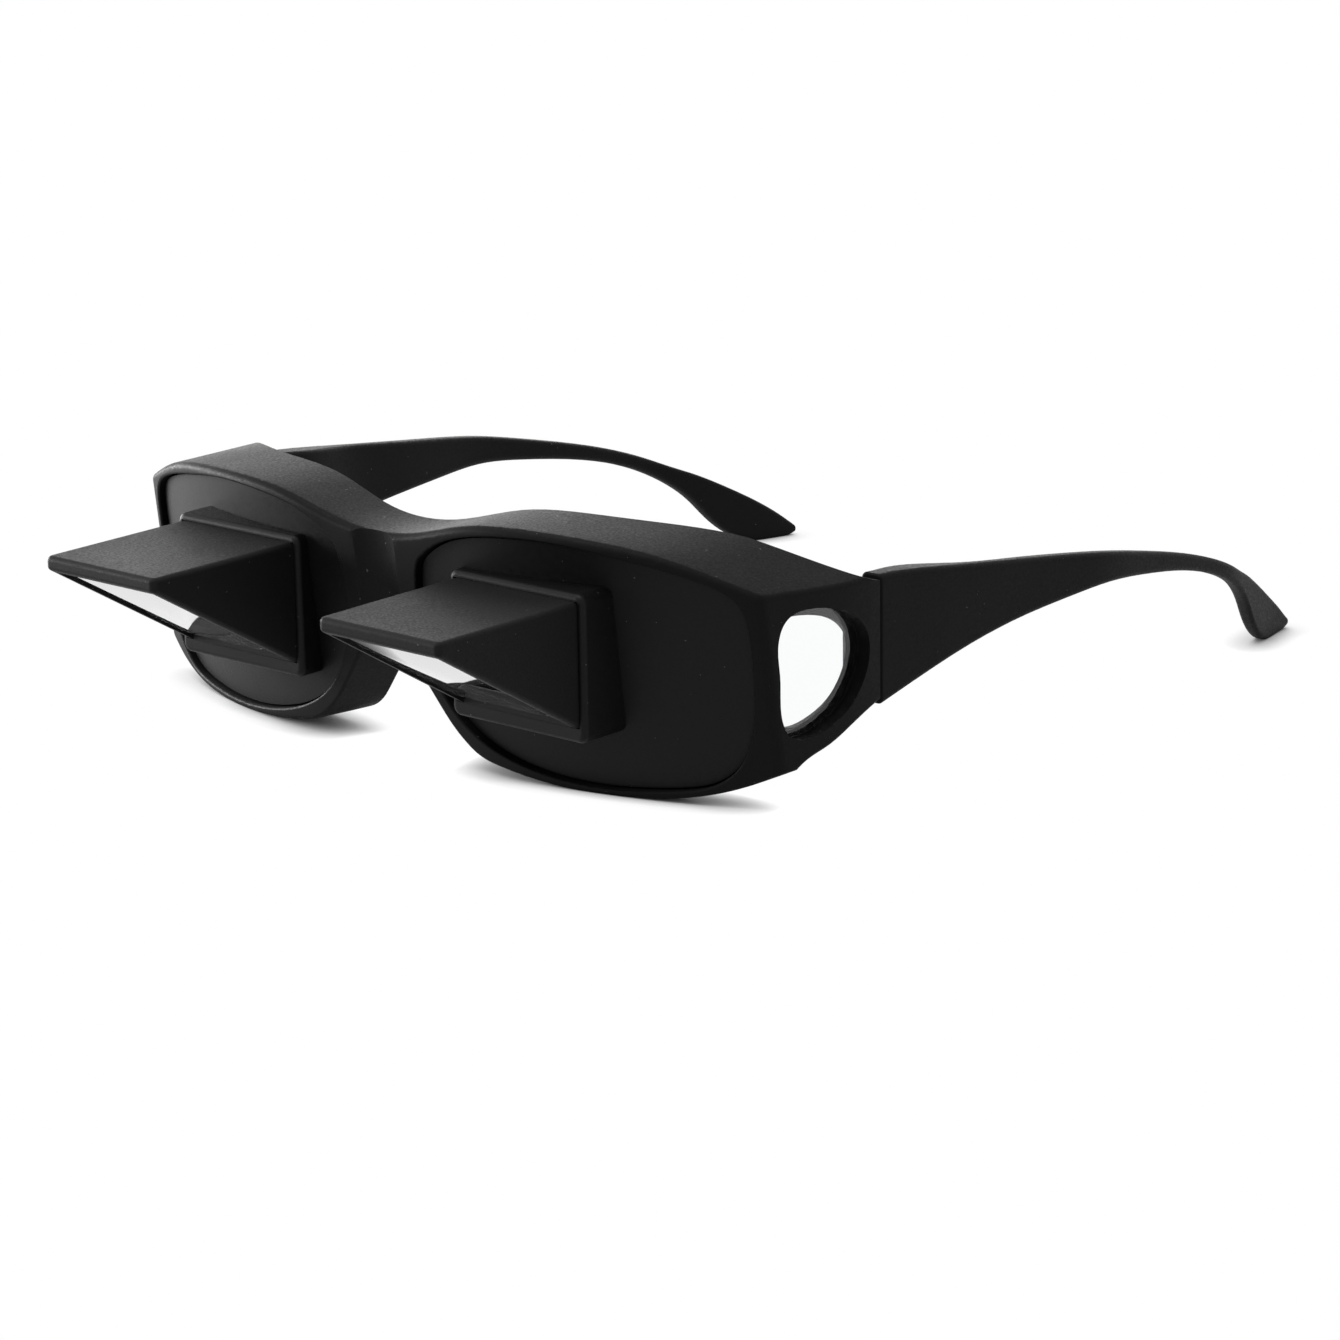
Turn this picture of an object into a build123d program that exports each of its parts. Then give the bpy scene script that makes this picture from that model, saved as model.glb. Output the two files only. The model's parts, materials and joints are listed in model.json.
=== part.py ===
from build123d import *
import math
import os

# Prism bed glasses that fit over ordinary spectacles: a wide front frame with two dark panels, a hood with
# a mirrored prism on each panel, clear side windows, and two temples on barrel hinges.
# Sizes are in millimetres. Sizes and places are measured from the datum: x = 0 between the eyes, the
# front face of the hood collars, and the flat top of the hoods. "Back" is away from the front.

# Driving sizes of the whole front
prism_spacing = 64.0
half_width = 72.8
hinge_back = 42.8
brow_rise = 9.5
rim_drop = 34.6
front_lean = 7.0
front_centre_back = 0.8
front_flat_half = 14.0
front_sweep = 14.97
stand_pitch = 1.9
foot_flat_depth = 0.25

# Walls of the front frame
front_wall = 4.6
rim_wall = 2.4
side_wall = 4.2
nose_depth = 13.4
bridge_trough_radius = 10.0
bridge_trough_depth = 1.2
brow_round = 1.2
crease_round = 0.7
corner_round = 2.4
wing_round = 9.0
rebate_round = 0.4
overrun = 20.0

# Eye panels and their collars
panel_recess = 1.4
panel_thickness = 1.8
panel_gap = 0.35
panel_seat = 0.05
panel_lip = 2.0
collar_side_band = 1.2
collar_bottom_band = 2.6
collar_round = 1.0
collar_corner = 1.6
panel_boss_back = 12.5
panel_boss_margin = 4.0

# Hoods
hood_front_width = 26.4
hood_rear_width = 26.9
hood_height = 20.9
hood_reach = 31.4
hood_lip = 2.2
hood_top_wall = 1.6
hood_cheek_wall = 1.5
hood_floor_wall = 1.5
hood_front_wall = 1.2
hood_round = 0.9
hood_corner_round = 1.2
hood_lip_round = 0.8
hood_fit = 0.05
hood_flange_margin = 3.4
hood_flange_thickness = 1.2

# Prisms, their mirrors and the bezels that hold them
prism_rear_back = 2.0
prism_recess = 0.4
prism_fit = 0.1
prism_bevel = 0.35
mirror_thickness = 0.4
mirror_gap = 0.05
bezel_thickness = 1.5
bezel_wall = 1.3
bezel_corner = 1.6
screw_from_corner = 3.0
screw_radius = 0.5
screw_head_radius = 0.95
screw_head_height = 0.6
screw_length = 4.2
screw_fit = 0.03
screw_slot_width = 0.25
screw_slot_depth = 0.25

# Side windows
window_lip = 1.6
window_lip_thickness = 0.9
window_thickness = 1.0
window_fit = 0.1
window_seat = 0.05

# Temples
temple_length = 137.6
temple_drop = 40.1
temple_converge = 12.6
temple_root_top = 0.0
temple_root_thickness = 4.4
temple_thickness = 3.4
temple_tip_thickness = 3.0
temple_round = 1.1
temple_end_share = 0.45
temple_root_round = 0.4
hinge_gap = 0.4

# Hinges
knuckle_radius = 1.5
knuckle_height = 2.4
knuckle_play = 0.05
leaf_thickness = 1.0
leaf_clear = 1.6
leaf_margin = 2.6
hinge_clearance = 0.3
front_leaf_length = 4.0
temple_leaf_length = 9.0
hinge_middle_drop = 11.0
hinge_screw_radius = 0.75
hinge_screw_head_radius = 1.15
hinge_screw_head_height = 0.6
hinge_bore_clearance = 0.05
rivet_radius = 0.6
rivet_head_radius = 1.0
rivet_head_height = 0.35
rivet_depth = 2.2
rivet_fit = 0.03
rivet_edge = 1.1
hole_end_gap = 0.1

# The glasses stand on the rims and the temple tips, so their own frame is pitched a little to the floor
pitch = math.radians(stand_pitch)
tip_drop = temple_drop - temple_root_top
tip_back = hinge_back + hinge_gap + temple_length
rim_front_low = front_centre_back + math.tan(math.radians(front_lean)) * rim_drop
origin_up = rim_drop * math.cos(pitch) - rim_front_low * math.sin(pitch) - foot_flat_depth
origin_back = ((tip_back - hood_reach) * math.cos(pitch) + tip_drop * math.sin(pitch)) / 2
across_axis = Vector(1, 0, 0)
back_axis = Vector(0, math.cos(pitch), math.sin(pitch))
up_axis = Vector(0, -math.sin(pitch), math.cos(pitch))
datum = Vector(0, -origin_back, origin_up)


def place(across, back, up):
    """The point at these distances from the datum, in the frame of the part."""
    return datum + across_axis * across + back_axis * back + up_axis * up


def seen_from_above(up=0.0, across=0.0, back=0.0):
    """A plane with x to the wearer's left and y to the back."""
    return Plane(origin=place(across, back, up), x_dir=across_axis, z_dir=up_axis)


def seen_from_front(back=0.0, across=0.0, up=0.0):
    """A plane with x to the wearer's left and y up. Its normal points to the front."""
    return Plane(origin=place(across, back, up), x_dir=across_axis, z_dir=-back_axis)


def seen_from_side(across=0.0, back=0.0, up=0.0):
    """A plane with x to the back and y up. Its normal points to the wearer's left."""
    return Plane(origin=place(across, back, up), x_dir=back_axis, z_dir=across_axis)


def scaled(shares, wide, high):
    """The points of an outline, from shares of its width and height."""
    return [(wide * share[0], high * share[1]) for share in shares]


def both_sides(points):
    """An outline's points for the wearer's right, then the same points for the left."""
    return [(-x, y) for x, y in reversed(points)] + points


def drawn_in(points, amount, closed=False):
    """An outline's points, each moved by an amount to the right of the outline's course."""
    ring = points[-1:] + points + points[:1] if closed else points[:1] + points + points[-1:]
    moved = []
    for before, point, after in zip(ring, ring[1:], ring[2:]):
        course = (Vector(*after) - Vector(*before)).normalized()
        moved.append((point[0] + amount * course.Y, point[1] - amount * course.X))
    return moved


# The front surface is flat over the nose and a large arc to each corner, and it leans back at the bottom
corner_share = 0.957
arc_across = corner_share * half_width - front_flat_half
front_radius = (arc_across**2 + front_sweep**2) / (2 * front_sweep)
wide = half_width + overrun / 4
lean = math.radians(front_lean)
lean_dir = up_axis - back_axis * math.tan(lean)


def front_zone(depth):
    """All the space in front of the front surface, moved back by a depth."""
    radius = front_radius - depth
    arc_back = front_radius - math.sqrt(radius**2 - (wide - front_flat_half) ** 2)
    with BuildPart() as zone:
        with BuildSketch(seen_from_above(-2 * rim_drop, 0, front_centre_back + 2 * rim_drop * math.tan(lean))):
            with BuildLine():
                left = RadiusArc((front_flat_half, depth), (wide, arc_back), -radius)
                right = RadiusArc((-wide, arc_back), (-front_flat_half, depth), -radius)
                Line(right @ 1, left @ 0)
                Polyline(left @ 1, (wide, -8 * overrun), (-wide, -8 * overrun), right @ 0)
            make_face()
        extrude(amount=4 * rim_drop, dir=lean_dir)
    return zone.part

# Outlines of the front as seen from the front, in shares of its half width and of a height

# The brow, from the middle to past the corner, in shares of the brow's rise
brow_shares = [(0.11, 0.58), (0.28, 0.905), (0.44, 1), (0.6, 0.945), (0.76, 0.75), (0.9, 0.36)]
brow_end_share = (1.05, -0.12)
# The bottom of a rim, from past the corner to behind the nose wing, in shares of the rim's drop
rim_shares = [
    (0.96, -0.838), (0.9, -0.895), (0.78, -0.97), (0.62, -1), (0.46, -0.99), (0.3, -0.94), (0.1, -0.83),
]
rim_end_share = (1.05, -0.76)
# One side of the nose notch, from its top to under the rim
notch_shares = [(0.05, -0.35), (0.095, -0.49), (0.145, -0.64), (0.2, -0.78), (0.28, -0.91), (0.4, -1.08)]
notch_rear_shares = [(0.03, -0.43), (0.06, -0.55), (0.1, -0.68), (0.145, -0.81), (0.22, -0.95), (0.36, -1.12)]
notch_push_shares = (0.75, 0.66)


def front_outline(back, inset=0.0):
    """The front without its nose notch, drawn on the plane at a distance back and drawn in by a wall."""
    brow = both_sides(scaled(brow_shares + [brow_end_share], half_width, brow_rise))
    brow = drawn_in(brow, inset)
    rim = drawn_in(scaled([rim_end_share] + rim_shares, half_width, rim_drop), inset)
    with BuildSketch(seen_from_front(back)) as sketch:
        with BuildLine():
            Spline(brow)
            for side in (1, -1):
                Spline([(side * x, y) for x, y in rim])
                Line((side * brow[-1][0], brow[-1][1]), (side * rim[0][0], rim[0][1]))
            Line((rim[-1][0], rim[-1][1]), (-rim[-1][0], rim[-1][1]))
        make_face()
    return sketch.sketch


def notch_outline(back, shares, margin=0.0):
    """The nose notch, open below, drawn on the plane at a distance back and widened by a wall."""
    push_x, push_y = (margin * share for share in notch_push_shares)
    notch = [(x + push_x, y + push_y) for x, y in scaled(shares, half_width, rim_drop)]
    with BuildSketch(seen_from_front(back)) as sketch:
        with BuildLine():
            arch = Spline(both_sides(notch))
            Polyline(arch @ 1, (notch[-1][0], -2 * rim_drop), (-notch[-1][0], -2 * rim_drop), arch @ 0)
        make_face()
    return sketch.sketch


# Outlines of a side arm, in shares of the hinge's distance back
arm_side_shares = [(corner_share, 0), (0.9643, 0.376), (0.9925, 0.7), (1, 1)]
shelf_shares = [(0.11, 0.304), (0.33, 0.355), (0.53, 0.43), (0.695, 0.575), (0.845, 0.738), (0.925, 0.83)]
shelf_end_share = 0.885
arm_low_shares = [(0.42, -0.955), (0.5, -0.873), (0.6, -0.792), (0.71, -0.749), (0.82, -0.69), (1.02, -0.6)]
# The top of the arms, in shares of the hinge's distance back and of the brow's rise
arm_top_shares = [(0.56, 1), (0.74, 0.5), (0.83, 0.24), (0.91, 0.05), (1.02, -0.09)]
window_shares = [
    (0.466, -0.15), (0.51, -0.085), (0.62, -0.065), (0.73, -0.09), (0.865, -0.17), (0.925, -0.27),
    (0.932, -0.36), (0.893, -0.486), (0.806, -0.598), (0.7, -0.66), (0.6, -0.685), (0.52, -0.662),
    (0.473, -0.57), (0.463, -0.36),
]
# The opening for an eye panel, in shares of the front's half width and the rim's drop
eye_shares = [
    (0.144, 0.058), (0.213, 0.15), (0.371, 0.22), (0.522, 0.225), (0.687, 0.179), (0.838, 0.098),
    (0.912, 0.0), (0.931, -0.173), (0.93, -0.416), (0.92, -0.616), (0.887, -0.8), (0.831, -0.9),
    (0.742, -0.945), (0.618, -0.965), (0.481, -0.954), (0.385, -0.919), (0.295, -0.855), (0.22, -0.757),
    (0.165, -0.621), (0.128, -0.434), (0.117, -0.231), (0.121, -0.058),
]


def front_plan():
    """The front and its arms from above, with the rear edge of the brow shelf."""
    side = scaled(arm_side_shares, half_width, hinge_back)
    inner = half_width - side_wall
    shelf_end = shelf_end_share * hinge_back
    shelf = scaled(shelf_shares, half_width, hinge_back) + [(inner, shelf_end)]
    with BuildSketch(seen_from_above(-2 * rim_drop)) as sketch:
        with BuildLine():
            Spline(both_sides(shelf))
            for hand in (1, -1):
                Spline([(hand * x, y) for x, y in side])
                Polyline((hand * half_width, hinge_back), (hand * inner, hinge_back), (hand * inner, shelf_end))
                Line((hand * side[0][0], side[0][1]), (hand * side[0][0], -overrun))
            Line((side[0][0], -overrun), (-side[0][0], -overrun))
        make_face()
    return sketch.sketch


def room_plan():
    """The room between the side arms from above, open to the back."""
    side = [(x - side_wall, y) for x, y in scaled(arm_side_shares, half_width, hinge_back)]
    rear = hinge_back + overrun
    with BuildSketch(seen_from_above(-2 * rim_drop)) as sketch:
        with BuildLine():
            for hand in (1, -1):
                Spline([(hand * x, y) for x, y in side])
                Line((hand * side[-1][0], side[-1][1]), (hand * side[-1][0], rear))
                Line((hand * side[0][0], side[0][1]), (hand * side[0][0], -overrun))
            Line((side[0][0], -overrun), (-side[0][0], -overrun))
            Line((side[-1][0], rear), (-side[-1][0], rear))
        make_face()
    return sketch.sketch


def arm_profile():
    """The arms from the side: the outlines of their lower and upper edges, open to the front."""
    low = scaled(arm_low_shares, hinge_back, rim_drop)
    high = scaled(arm_top_shares, hinge_back, brow_rise)
    with BuildSketch(seen_from_side(-half_width - overrun)) as sketch:
        with BuildLine():
            lower = Spline(low)
            upper = Spline(high)
            start = lower @ 0 - (lower % 0) * overrun
            Line(lower @ 0, start)
            Line(lower @ 1, upper @ 1)
            Polyline(start, (-overrun * 2, start.Y), (-overrun * 2, overrun), (high[0][0], overrun), upper @ 0)
        make_face()
    return sketch.sketch


def arm_band(outer_depth, inner_depth):
    """The wall of both arms from above, between two depths below its outer face."""
    with BuildSketch(seen_from_above(-2 * rim_drop)) as sketch:
        for hand in (1, -1):
            side = scaled(arm_side_shares, hand * half_width, hinge_back)
            with BuildLine():
                outer = Spline([(x - hand * outer_depth, y) for x, y in side])
                inner = Spline([(x - hand * inner_depth, y) for x, y in side])
                Line(outer @ 0, inner @ 0)
                Line(outer @ 1, inner @ 1)
            make_face()
    return sketch.sketch


def window_outline(across, inset=0.0):
    """A side window's outline on the plane at a distance across, drawn in by a margin."""
    with BuildSketch(seen_from_side(across)) as sketch:
        with BuildLine():
            Spline(drawn_in(scaled(window_shares, hinge_back, rim_drop), inset, closed=True), periodic=True)
        make_face()
    return sketch.sketch


def eye_outline(back, inset=0.0):
    """The left eye panel's opening on the plane at a distance back, drawn in by a margin."""
    with BuildSketch(seen_from_front(back)) as sketch:
        with BuildLine():
            Spline(drawn_in(scaled(eye_shares, half_width, rim_drop), inset, closed=True), periodic=True)
        make_face()
    return sketch.sketch


def notch_tool(margin=0.0):
    """What the nose notch takes away. The nose wings lean in to the nose at the back."""
    with BuildPart() as tool:
        loft([
            notch_outline(front_centre_back, notch_shares, margin),
            notch_outline(front_centre_back + nose_depth, notch_rear_shares, margin),
        ], ruled=True)
    return tool.part


def edges_near(part, across_share, back_share, up_share):
    """The edges whose middles lie nearest a place and its mirror image, from shares of the front's sizes."""
    found = ShapeList()
    for side in (1, -1):
        spot = place(side * across_share * half_width, back_share * hinge_back, up_share * rim_drop)
        edge = part.edges().sort_by(lambda candidate: (candidate.center() - spot).length)[0]
        if not any(edge.is_same(other) for other in found):
            found.append(edge)
    return found


# Where the rounded edges of the front lie, in shares of its half width, the hinge's distance and the rims' drop
corner_edge_shares = (0.968, 0.418, -0.393)
brow_edge_shares = [(0, 0.005, 0.136), (0.6, 0.086, 0.26)]
wing_edge_shares = (0.217, 0.212, -0.9)
rounded_edge_shares = [
    (0.614, 0.22, -1), (0.209, 0.103, -0.838), (0, 0.05, -0.33),
    (0.992, 0.685, 0.017), (0.977, 0.514, -0.82), (0.996, 0.745, -0.731),
]
rebate_edge_shares = [(0.93, 0.382, -0.392), (0.129, 0.006, 0.128), (0.12, 0.052, -0.332), (0.209, 0.1, -0.818)]

# The places that the eye pieces and the hinges share
eye_across = prism_spacing / 2
flange_rear = panel_boss_back + hood_flange_thickness
bezel_rear = flange_rear + bezel_thickness
hood_floor = hood_floor_wall - hood_height
screw_across = hood_rear_width / 2 + hood_flange_margin / 2
screw_up = hood_height / 2 - screw_from_corner
hinge_across = half_width - temple_root_thickness - hinge_clearance - knuckle_radius
hinge_axis_back = hinge_back + hinge_gap / 2
temple_root_back = hinge_back + hinge_gap
arm_face = half_width - side_wall - hinge_across
temple_face = knuckle_radius + hinge_clearance
leaf_half_height = 1.5 * knuckle_height + leaf_margin
front_rivet_back = hinge_axis_back - front_leaf_length + rivet_edge
front_rivet_up = leaf_half_height - leaf_margin / 2
temple_rivet_backs = [
    hinge_axis_back + leaf_clear + 2 * rivet_edge,
    hinge_axis_back + temple_leaf_length - rivet_edge,
]


def hood_section(back, margin=0.0, corner=0.0):
    """The left hood's straight section on the plane at a distance back, widened by a margin."""
    with BuildSketch(seen_from_front(back, eye_across, -hood_height / 2)) as sketch:
        wide_box = hood_rear_width + 2 * margin
        high_box = hood_height + 2 * margin
        if corner:
            RectangleRounded(wide_box, high_box, corner)
        else:
            Rectangle(wide_box, high_box)
    return sketch.sketch


def inner_section(back, inset):
    """The inside of the left hood's straight section, drawn in by an inset."""
    inner_wide = hood_rear_width - 2 * hood_cheek_wall - 2 * inset
    inner_high = hood_height - hood_top_wall - hood_floor_wall - 2 * inset
    with BuildSketch(seen_from_front(back, eye_across, (hood_floor - hood_top_wall) / 2)) as sketch:
        Rectangle(inner_wide, inner_high)
    return sketch.sketch


def bezel_screw_places(back):
    """The four screw places around the left hood, on the plane at a distance back."""
    plane = seen_from_front(back, eye_across, -hood_height / 2)
    return [plane * Location((side * screw_across, level * screw_up)) for side in (1, -1) for level in (1, -1)]


def front_rivet_places(across):
    """The two rivet places of the left front leaf, on the plane at a distance across."""
    plane = seen_from_side(across, front_rivet_back, -hinge_middle_drop)
    return [plane * Location((0, level * front_rivet_up)) for level in (1, -1)]


def temple_rivet_places(across):
    """The two rivet places of the left temple leaf, on the plane at a distance across."""
    return [Location(seen_from_side(across, back, -hinge_middle_drop)) for back in temple_rivet_backs]


# What is cut from the left half of the front, and mirrored for the right
with BuildPart() as eye_rebate:
    extrude(eye_outline(-overrun), amount=-4 * overrun)
    add(front_zone(panel_recess + panel_thickness), mode=Mode.INTERSECT)
    mirror(about=Plane.YZ)

with BuildPart() as eye_opening:
    extrude(eye_outline(-overrun, panel_lip), amount=-4 * overrun)
    add(front_zone(front_wall + panel_lip / 4), mode=Mode.INTERSECT)
    mirror(about=Plane.YZ)

with BuildPart() as window_rebate:
    extrude(window_outline(half_width - overrun), amount=2 * overrun)
    extrude(arm_band(-overrun, side_wall - window_lip_thickness), amount=4 * rim_drop, mode=Mode.INTERSECT)
    mirror(about=Plane.YZ)

with BuildPart() as window_opening:
    extrude(window_outline(half_width - overrun, window_lip), amount=2 * overrun)
    mirror(about=Plane.YZ)

with BuildPart() as arm_rivet_holes:
    with Locations(*front_rivet_places(half_width - side_wall - leaf_thickness)):
        reach = leaf_thickness + rivet_depth + hole_end_gap
        Cylinder(rivet_radius + rivet_fit, reach, align=(Align.CENTER, Align.CENTER, Align.MIN))
    mirror(about=Plane.YZ)

with BuildPart() as bridge_trough:
    with BuildSketch(seen_from_above(-rim_drop, 0, front_centre_back + rim_drop * math.tan(lean))):
        with Locations((0, bridge_trough_depth - bridge_trough_radius)):
            Circle(bridge_trough_radius)
    extrude(amount=2 * rim_drop, dir=lean_dir)

# The room behind the front and between the arms
with BuildPart() as room:
    extrude(front_outline(-overrun, rim_wall), amount=-4 * overrun)
    extrude(room_plan(), amount=4 * rim_drop, mode=Mode.INTERSECT)
    add(front_zone(front_wall), mode=Mode.SUBTRACT)
    add(notch_tool(rim_wall), mode=Mode.SUBTRACT)

# The front frame: a shell with a brow shelf, two rims, nose wings and the side arms
with BuildPart() as front_frame:
    extrude(front_outline(-overrun), amount=-4 * overrun)
    extrude(front_plan(), amount=4 * rim_drop, mode=Mode.INTERSECT)
    extrude(arm_profile(), amount=2 * (half_width + overrun), mode=Mode.INTERSECT)
    add(front_zone(0), mode=Mode.SUBTRACT)
    add(notch_tool(), mode=Mode.SUBTRACT)
    fillet(edges_near(front_frame, *corner_edge_shares), corner_round)
    fillet(edges_near(front_frame, *wing_edge_shares), wing_round)
    fillet([edge for spot in brow_edge_shares for edge in edges_near(front_frame, *spot)], brow_round)
    fillet([edge for spot in rounded_edge_shares for edge in edges_near(front_frame, *spot)], crease_round)
    for cut in (bridge_trough, room, eye_rebate, eye_opening, window_rebate, window_opening, arm_rivet_holes):
        add(cut.part, mode=Mode.SUBTRACT)
    fillet([edge for spot in rebate_edge_shares for edge in edges_near(front_frame, *spot)], rebate_round)
    split(bisect_by=Plane.XY, keep=Keep.TOP)

# An eye panel: a dark plate, a collar for the hood, and a boss behind the plate with a flat rear
with BuildPart() as panel_boss:
    extrude(hood_section(-overrun, panel_boss_margin), amount=-(overrun + panel_boss_back))
    extrude(eye_outline(-overrun, panel_lip + panel_gap), amount=-4 * overrun, mode=Mode.INTERSECT)
    add(front_zone(panel_recess + panel_thickness / 2), mode=Mode.SUBTRACT)

with BuildPart() as panel_collar:
    band_gap = (collar_bottom_band - collar_side_band) / 2
    with BuildSketch(seen_from_front(0, eye_across, -hood_height / 2 - band_gap)):
        collar_high = hood_height + collar_side_band + collar_bottom_band
        RectangleRounded(hood_rear_width + 2 * collar_side_band, collar_high, collar_corner)
    extrude(amount=-panel_boss_back)
    fillet(panel_collar.faces().sort_by(Axis(datum, back_axis))[0].edges(), collar_round)

with BuildPart() as left_eye_panel:
    extrude(eye_outline(-overrun, panel_gap), amount=-4 * overrun)
    add(front_zone(panel_recess + panel_thickness - panel_seat), mode=Mode.INTERSECT)
    add(front_zone(panel_recess), mode=Mode.SUBTRACT)
    add(panel_boss.part)
    add(panel_collar.part)
    extrude(hood_section(-overrun, hood_fit), amount=-4 * overrun, mode=Mode.SUBTRACT)
    with Locations(*bezel_screw_places(panel_boss_back)):
        depth = screw_length - hood_flange_thickness - bezel_thickness + hole_end_gap
        Cylinder(screw_radius + screw_fit, 2 * depth, mode=Mode.SUBTRACT)

# A prism hood: a wedge with a flat top and two cheeks, a straight sleeve, and a flange behind the boss
with BuildPart() as hood_flange:
    extrude(hood_section(panel_boss_back, hood_flange_margin, bezel_corner), amount=-hood_flange_thickness)
    extrude(eye_outline(-overrun, panel_lip + panel_gap), amount=-4 * overrun, mode=Mode.INTERSECT)

with BuildPart() as hood_room:
    with BuildSketch(seen_from_side(eye_across - hood_rear_width)):
        front = hood_front_wall - hood_reach
        rear = flange_rear + overrun
        under = -hood_height - overrun
        with BuildLine():
            Polyline(
                (front, -hood_top_wall), (rear, -hood_top_wall), (rear, hood_floor),
                (0, hood_floor), (0, under), (front, under), close=True,
            )
        make_face()
    extrude(amount=2 * hood_rear_width)
    with BuildSketch(seen_from_above(-hood_height - overrun, eye_across)) as room_outline:
        with BuildLine():
            wide_front = hood_front_width / 2 - hood_cheek_wall
            wide_rear = hood_rear_width / 2 - hood_cheek_wall
            Polyline(
                (-wide_front, -hood_reach), (wide_front, -hood_reach), (wide_rear, 0), (wide_rear, 2 * overrun),
                (-wide_rear, 2 * overrun), (-wide_rear, 0), close=True,
            )
        make_face()
    extrude(amount=2 * overrun + hood_height, mode=Mode.INTERSECT)

with BuildPart() as left_prism_hood:
    with BuildSketch(seen_from_side(eye_across - hood_rear_width)):
        with BuildLine():
            Polyline(
                (-hood_reach, 0), (flange_rear, 0), (flange_rear, -hood_height), (0, -hood_height),
                (-hood_reach, -hood_lip), close=True,
            )
        make_face()
    extrude(amount=2 * hood_rear_width)
    with BuildSketch(seen_from_above(-hood_height - overrun, eye_across)):
        half_front = hood_front_width / 2
        half_rear = hood_rear_width / 2
        with BuildLine():
            Polyline(
                (-half_front, -hood_reach), (half_front, -hood_reach), (half_rear, 0),
                (half_rear, 2 * overrun), (-half_rear, 2 * overrun), (-half_rear, 0), close=True,
            )
        make_face()
    extrude(amount=2 * overrun + hood_height, mode=Mode.INTERSECT)
    lip_corners = left_prism_hood.edges().filter_by(Axis(datum, up_axis)).sort_by(Axis(datum, back_axis))[:2]
    fillet(lip_corners, hood_corner_round)
    top_face = left_prism_hood.faces().sort_by(Axis(datum, up_axis))[-1]
    top_edges = top_face.edges().sort_by(Axis(datum, back_axis))[:-1]
    fillet(top_edges, hood_round)
    lip_spot = place(eye_across, -hood_reach, -hood_lip)
    lip_edges = left_prism_hood.edges().sort_by(lambda edge: (edge.center() - lip_spot).length)[:1]
    fillet(lip_edges, hood_lip_round)
    add(hood_flange.part)
    add(hood_room.part, mode=Mode.SUBTRACT)
    with Locations(*bezel_screw_places(flange_rear)):
        Cylinder(screw_radius + screw_fit, 4 * hood_flange_thickness, mode=Mode.SUBTRACT)

# A prism: a clear wedge between the cheeks, with its mirror lying on its flat top
mirror_low = -hood_top_wall - prism_fit / 2 - mirror_thickness
prism_top = mirror_low - mirror_gap
prism_front = hood_front_wall - hood_reach + prism_fit
prism_slope = (hood_height - hood_lip) / hood_reach
prism_rise = prism_recess * math.hypot(1, prism_slope)
prism_low = hood_floor + prism_fit
prism_tip = prism_rise - hood_lip - prism_slope * (prism_front + hood_reach)
prism_heel = (prism_rise - hood_lip - prism_low) / prism_slope - hood_reach


def between_cheeks(up):
    """The space between the left hood's cheeks from above, less a fit."""
    with BuildSketch(seen_from_above(up, eye_across)) as sketch:
        with BuildLine():
            at_front = hood_front_width / 2 - hood_cheek_wall - prism_fit
            at_rear = hood_rear_width / 2 - hood_cheek_wall - prism_fit
            Polyline(
                (-at_front, -hood_reach), (at_front, -hood_reach), (at_rear, 0), (at_rear, prism_rear_back),
                (-at_rear, prism_rear_back), (-at_rear, 0), close=True,
            )
        make_face()
    return sketch.sketch


with BuildPart() as left_prism:
    with BuildSketch(seen_from_side(eye_across - hood_rear_width)):
        with BuildLine():
            Polyline(
                (prism_front, prism_top), (prism_rear_back, prism_top), (prism_rear_back, prism_low),
                (prism_heel, prism_low), (prism_front, prism_tip), close=True,
            )
        make_face()
    extrude(amount=2 * hood_rear_width)
    extrude(between_cheeks(-2 * hood_height), amount=4 * hood_height, mode=Mode.INTERSECT)
    slope_way = -back_axis * prism_slope - up_axis
    slope_face = left_prism.faces().sort_by(lambda face: face.normal_at().dot(slope_way))[-1]
    side_edges = slope_face.edges().sort_by(lambda edge: edge.length)[-2:]
    chamfer(side_edges, prism_bevel)

with BuildPart() as left_prism_mirror:
    extrude(between_cheeks(mirror_low), amount=mirror_thickness)
    with BuildSketch(seen_from_side(eye_across - hood_rear_width)):
        with Locations((prism_front, mirror_low)):
            Rectangle(prism_rear_back - prism_front, mirror_thickness, align=Align.MIN)
    extrude(amount=2 * hood_rear_width, mode=Mode.INTERSECT)

# A bezel: a plate behind the flange, with a spigot that reaches forward to the prism's rear face
with BuildPart() as left_prism_bezel:
    extrude(hood_section(flange_rear, hood_flange_margin, bezel_corner), amount=-bezel_thickness)
    extrude(eye_outline(-overrun, panel_lip + panel_gap), amount=-4 * overrun, mode=Mode.INTERSECT)
    extrude(inner_section(prism_rear_back + panel_seat, prism_fit), amount=prism_rear_back - flange_rear)
    extrude(inner_section(-overrun, prism_fit + bezel_wall), amount=-4 * overrun, mode=Mode.SUBTRACT)
    with Locations(*bezel_screw_places(bezel_rear)):
        Cylinder(screw_radius + screw_fit, 4 * bezel_thickness, mode=Mode.SUBTRACT)

with BuildPart() as left_bezel_screws:
    with Locations(*bezel_screw_places(bezel_rear)):
        Cylinder(screw_radius, screw_length, align=(Align.CENTER, Align.CENTER, Align.MIN))
        Cylinder(screw_head_radius, screw_head_height, align=(Align.CENTER, Align.CENTER, Align.MAX))
    with Locations(*bezel_screw_places(bezel_rear + screw_head_height)):
        Box(2 * screw_head_radius, screw_slot_width, 2 * screw_slot_depth, mode=Mode.SUBTRACT)

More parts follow.
